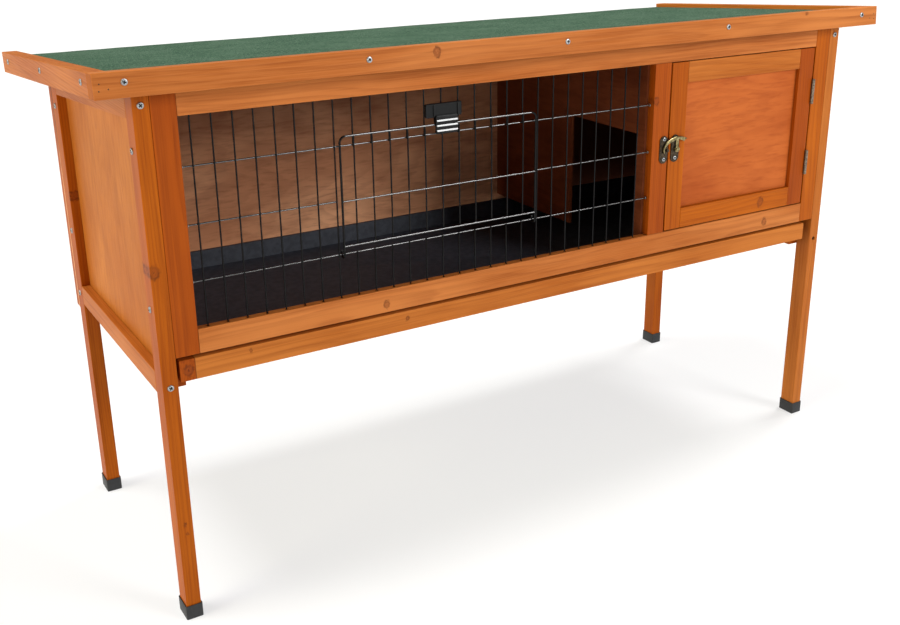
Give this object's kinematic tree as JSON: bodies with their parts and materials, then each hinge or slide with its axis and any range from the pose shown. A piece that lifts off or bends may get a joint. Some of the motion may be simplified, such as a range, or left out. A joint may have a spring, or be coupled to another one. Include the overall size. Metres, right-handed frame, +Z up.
{
  "type": "rabbit hutch",
  "caption": "Raised timber rabbit hutch: wire-fronted run with a small wire door, solid nest door with horn latch, felt roof, slide-out tray.",
  "frame": {"origin": "on the floor, under the centre of the whole outline including the roof", "axes": "+Z up, the wire front and the doors face -Y, +X to the right seen from the front"},
  "size_m": [1.208, 0.505, 0.7064],
  "materials": {
    "stained_fir": "honey-brown stained fir battens, satin",
    "stained_plywood": "stained thin plywood, satin",
    "mineral_felt": "green mineral-surfaced roofing felt, matt",
    "black_plastic": "moulded black plastic",
    "tray_plastic": "charcoal tray, slightly glossy",
    "black_wire": "black coated steel wire",
    "antique_bronze": "antiqued cast brass",
    "zinc_plate": "bright zinc plate"
  },
  "bodies": {
    "frame": {"leg_front_left": "stained_fir", "leg_front_right": "stained_fir", "leg_rear_left": "stained_fir", "leg_rear_right": "stained_fir", "side_bottom_rail_left": "stained_fir", "side_bottom_rail_right": "stained_fir", "side_top_rail_left": "stained_fir", "side_top_rail_right": "stained_fir", "tray_runner_left": "stained_fir", "tray_runner_right": "stained_fir", "tray_bearer": "stained_fir", "rear_stile_left": "stained_fir", "rear_stile_middle": "stained_fir", "rear_stile_right": "stained_fir", "rear_bottom_rail": "stained_fir", "rear_top_rail": "stained_fir", "front_stile_left": "stained_fir", "front_stile_right": "stained_fir", "front_bottom_rail": "stained_fir", "front_top_rail": "stained_fir", "front_mullion": "stained_fir", "partition_batten_front": "stained_fir", "partition_batten_rear": "stained_fir", "front_fascia": "stained_fir", "left_fascia": "stained_fir", "right_fascia": "stained_fir", "side_panel_left": "stained_plywood", "side_panel_right": "stained_plywood", "back_panel": "stained_plywood", "partition": "stained_plywood", "roof_board": "stained_plywood", "roof_felt": "mineral_felt", "foot_cap_front_left": "black_plastic", "foot_cap_front_right": "black_plastic", "foot_cap_rear_left": "black_plastic", "foot_cap_rear_right": "black_plastic", "mesh_panel": "black_wire", "latch_frame_plate": "antique_bronze", "leg_screw_left": "zinc_plate", "leg_screw_right": "zinc_plate", "hinge_lower_frame_leaf": "zinc_plate", "hinge_lower_pin": "zinc_plate", "hinge_upper_frame_leaf": "zinc_plate", "hinge_upper_pin": "zinc_plate"},
    "door": {"door_stile_latch": "stained_fir", "door_stile_hinge": "stained_fir", "door_bottom_rail": "stained_fir", "door_top_rail": "stained_fir", "door_panel": "stained_plywood", "hinge_lower_door_leaf": "zinc_plate", "hinge_upper_door_leaf": "zinc_plate", "latch_door_plate": "antique_bronze", "latch_rivet": "antique_bronze"},
    "latch": {"latch_hook": "antique_bronze"},
    "wire_door": {"wire_door": "black_wire", "catch_housing": "black_plastic"},
    "catch": {"catch_slider": "black_plastic"},
    "drawer": {"tray": "tray_plastic", "drawer_front": "stained_fir"}
  },
  "joints": [
    {"name": "door_swing", "type": "hinge", "parent": "frame", "child": "door", "pos_m": [0.50815, -0.22232, 0.4618], "axis": [0, 0, 1], "range_deg": [0, 170]},
    {"name": "latch_turn", "type": "hinge", "parent": "door", "child": "latch", "pos_m": [0.2275, -0.21992, 0.519], "axis": [0, 1, 0], "range_deg": [0, 70]},
    {"name": "wire_door_swing", "type": "hinge", "parent": "frame", "child": "wire_door", "pos_m": [0, -0.21252, 0.449], "axis": [1, 0, 0], "range_deg": [0, 115]},
    {"name": "catch_slide", "type": "slide", "parent": "wire_door", "child": "catch", "axis": [0, 0, 1], "range_m": [0, 0.01]},
    {"name": "drawer_slide", "type": "slide", "parent": "frame", "child": "drawer", "axis": [0, -1, 0], "range_m": [0, 0.36]}
  ]
}
